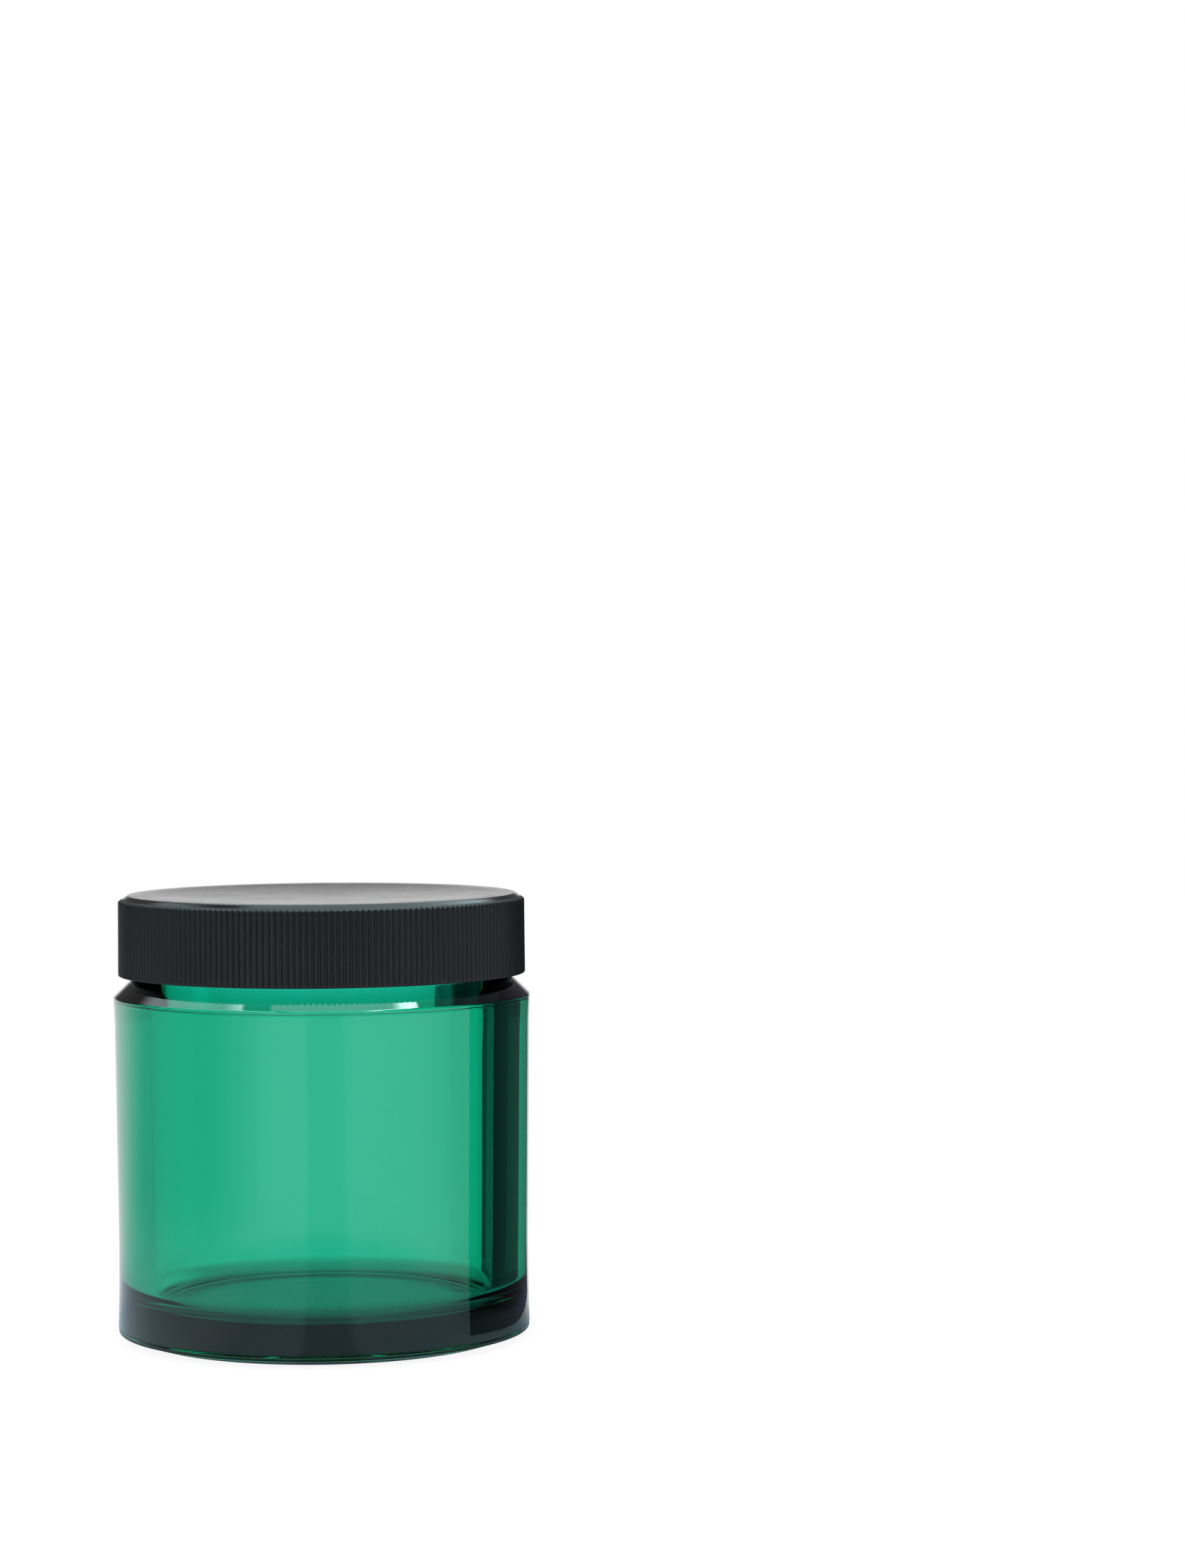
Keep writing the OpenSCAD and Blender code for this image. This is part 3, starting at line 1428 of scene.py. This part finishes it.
@dataclass(frozen=True)
class Table:
    """The white table top that the jar stands on.

    Its disc is in millimetres, and the reaches of its shades are in metres.
    """

    radii: tuple[float, ...] = (20.0, 60.0, 120.0, 250.0, 500.0, 1000.0)
    top_z: float = -0.02
    columns: int = 128
    own_light: float = 0.9
    white: float = 0.15
    paper: float = 0.8
    # painted shadow round the jar: its level, centre, reach, and the sides it leaves out
    shade: float = 0.55
    shade_centre: Triple = (0.0, -0.045, 0.0)
    shade_to: Span = (0.078, 0.108)
    side_from: Span = (0.5, 0.9)
    back_from: Span = (0.0, 0.02)
    # painted shadow under the jar: its level and the reach over which it fades
    under: float = 0.17
    under_shade_to: Span = (0.0285, 0.0345)
    near_to: Span = (0.03, 0.2)
    least_reach: float = 1e-6
    cool: Colour = (0.9, 0.96, 1.0)
    shade_tone: Colour = (0.8, 1.15, 1.4)
    surround: Surround = Surround()

    def build(self) -> bpy.types.Object:
        """Makes the table top, as a disc that lies just under the jar.

        Returns:
            The disc, marked as stage.
        """
        shell = Shell()
        shell.pole(self.top_z)
        flat = np.column_stack([self.radii, np.full(len(self.radii), self.top_z)])
        shell.rings(turned(flat, self.columns)[:, ::-1])
        made = shell.build("table_top")
        made.data.materials.append(self._finish())
        made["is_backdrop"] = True
        return made

    def _finish(self) -> bpy.types.Material:
        """White paper.

        To the camera it glows a little, so that it is as white as the room and keeps a
        faint shadow. What the jar shows of it, through its wall or in its skin, has a painted
        shadow round the jar, deepest under it and in a cool tone, and the darker room on the
        left.

        Returns:
            The material.
        """
        made = bpy.data.materials.new("white_table")
        g = Graph(made)
        path = LightPath(g)
        once, inside = path.thrown_back(), path.passed()
        spot = g.add("ShaderNodeTexCoord").signal("Object")
        x, y, _ = g.parts(spot)
        reach = (x * x + y * y).math("SQRT") + self.least_reach
        away = g.add(
            "ShaderNodeVectorMath", {"operation": "DISTANCE"}, {0: spot, 1: self.shade_centre}
        ).signal("Value")
        # painted shadow round the jar, kept off its left and, for light thrown back, off its
        # back
        side = ((0 - x) / reach).ramp(*self.side_from)
        side = side.at_least(y.ramp(*self.back_from) * (once - inside))
        open_sky = away.ramp(*self.shade_to).at_least(side)
        level = open_sky * (1 - self.shade) + self.shade
        # painted shadow under the jar
        level = level * reach.ramp(*self.under_shade_to, self.under, 1.0)
        heading = self.surround.heading(x, y)
        # painted light on the table close to the jar, on its left
        near = reach.ramp(*self.near_to, 1.0, 0.0)
        round_about = self.surround.level(heading, inside, near)
        mirrored = level * (round_about * once + (1 - once))
        # the painted shadow's cool tone
        tone = g.colours(open_sky, self.shade_tone, self.cool)
        left = self.surround.left(heading) * (1 - inside)
        tone = g.colours(left, tone, self.surround.left_tone)
        image = g.glow(g.colours(once, WHITE, tone), mirrored)
        paper, soft = (
            g.add("ShaderNodeBsdfDiffuse", None, {"Color": (grey,) * 3})
            for grey in (self.paper, self.white)
        )
        lit = g.add("ShaderNodeAddShader", None, {0: soft, 1: g.glow(WHITE, self.own_light)})
        clear = (path.is_kind("Glossy") + path.is_kind("Transmission")).at_most(1.0)
        both = g.mixed(clear, g.mixed(path.is_kind("Camera"), paper, lit), image)
        g.add("ShaderNodeOutputMaterial", None, {"Surface": both})
        return made


@dataclass(frozen=True)
class Card:
    """A dark card near the jar, out of view, that darkens a part of its wall.

    As it is, it stands behind the jar on the right.
    """

    ends: tuple[Span, Span] = ((3.0, 41.1), (25.0, 51.3))
    height: float = 46.0
    points: int = 9
    shade: Colour = (0.0, 0.02, 0.015)
    square_to: Span = (0.06, 0.1)

    def build(self) -> bpy.types.Object:
        """Makes the card, as an upright grid between its two ends.

        Returns:
            The card, marked as stage.
        """
        n = self.points
        along, z = np.meshgrid(np.linspace(0, 1, n), np.linspace(0, self.height, n))
        (x0, y0), (x1, y1) = self.ends
        points = np.stack([x0 + (x1 - x0) * along, y0 + (y1 - y0) * along, z], -1)
        i = np.arange(n * n).reshape(n, n)
        faces = np.stack([i[:-1, :-1], i[1:, :-1], i[1:, 1:], i[:-1, 1:]], -1).reshape(-1, 4)
        mesh = bpy.data.meshes.new("card")
        mesh.from_pydata((points.reshape(-1, 3) * MM).tolist(), [], faces.tolist())
        made = link("card", mesh)
        made.data.materials.append(self._finish())
        for ray in ("camera", "diffuse", "shadow", "volume_scatter"):
            setattr(made, f"visible_{ray}", False)
        made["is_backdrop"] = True
        return made

    def tone(self, g: Graph) -> Signal | Colour:
        """The card's colour, or a graph's signal that carries it."""
        return self.shade

    def share(self, once: Signal, facing: Signal) -> Signal:
        """How solid the card is: here, to light that was thrown back and meets it square."""
        return once * facing.ramp(*self.square_to, 1.0, 0.0)

    def _finish(self) -> bpy.types.Material:
        """Dark to some rays and clear to the rest, like the slats of a blind.

        Returns:
            The material.
        """
        made = bpy.data.materials.new("dark_card")
        g = Graph(made)
        facing = g.add("ShaderNodeLayerWeight", None, {"Blend": 0.5}).signal("Facing")
        share = self.share(LightPath(g).thrown_back(), facing)
        clear = g.add("ShaderNodeBsdfTransparent")
        slats = g.mixed(share, clear, g.glow(self.tone(g), 1.0))
        g.add("ShaderNodeOutputMaterial", None, {"Surface": slats})
        return made


@dataclass(frozen=True)
class SideCard(Card):
    """The card beside the jar on the right, a little less dark at its far end, with painted
    bounce light at its foot.
    """

    ends: tuple[Span, Span] = ((41.7, -22.3), (41.7, 35.0))
    height: float = 66.0
    near_tone: Colour = (0.03, 0.02, 0.028)
    far_tone: Colour = (0.085, 0.085, 0.11)
    far_from_m: Span = (-0.012, 0.02)
    # painted bounce light from the table, on the card's lowest few millimetres
    bounce_light_tone: Colour = (0.085, 0.1, 0.15)
    bounce_light_to_m: Span = (0.0015, 0.004)
    grazing_from: Span = (0.32, 0.36)

    def tone(self, g: Graph) -> Signal | Colour:
        """From the near tone to the far one, along the card, and paler at its foot, where
        painted light stands for light thrown up from the table.

        Args:
            g: The graph of the card's material.

        Returns:
            The colour.
        """
        _, y, z = g.parts(g.place())
        along = g.colours(y.ramp(*self.far_from_m), self.near_tone, self.far_tone)
        # painted bounce light at the card's foot
        return g.colours(z.ramp(*self.bounce_light_to_m), self.bounce_light_tone, along)

    def share(self, once: Signal, facing: Signal) -> Signal:
        """Solid to light that was thrown back and to light that grazes it."""
        return once.at_least(facing.ramp(*self.grazing_from))


# ---------------------------------------------------------------- putting it together


@dataclass(frozen=True)
class Dressed:
    """One piece with what it stands for and what it is made of."""

    label: str
    shape: Callable[[], bpy.types.Object]
    finish: Callable[[], bpy.types.Material]
    node: str
    body: Body
    slot: Slot

    def make(self) -> bpy.types.Object:
        """Builds the piece, gives it its finish and ties it to the frame.

        Returns:
            The piece.
        """
        made = self.shape()
        made.data.materials.append(self.finish())
        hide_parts(self.node)
        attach(made, self.body.value)
        LOG.info("%s: %d faces", self.label, len(made.data.polygons))
        return made


def pieces() -> list[Dressed]:
    """Lists the pieces of the jar in the order they are built.

    Returns:
        One entry for each piece.
    """
    polymer, black, foam = (finish().material for finish in (ClearPolymer, SatinBlack, Foam))
    return [
        Dressed("jar", JarBody().build, polymer, "jar_body", Body.JAR, Slot.POLYMER),
        Dressed("lid", ScrewLid().build, black, "screw_lid", Body.LID, Slot.LID),
        Dressed("liner", SealLiner().build, foam, "seal_liner", Body.LINER, Slot.LINER),
    ]


def corners() -> list[list[float]]:
    """The shown object's lowest and highest corners, as plain lists."""
    return [[float(v) for v in corner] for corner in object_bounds()]


def main() -> None:
    """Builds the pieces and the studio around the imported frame."""
    logging.basicConfig(level=logging.INFO, format="%(name)s: %(message)s")
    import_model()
    for piece in pieces():
        piece.make()
    for part in (Eye(), Room(), Table(), SideCard(), Card()):
        part.build()
    bpy.context.scene.view_settings.view_transform = "Standard"


if __name__ == "__main__":
    main()
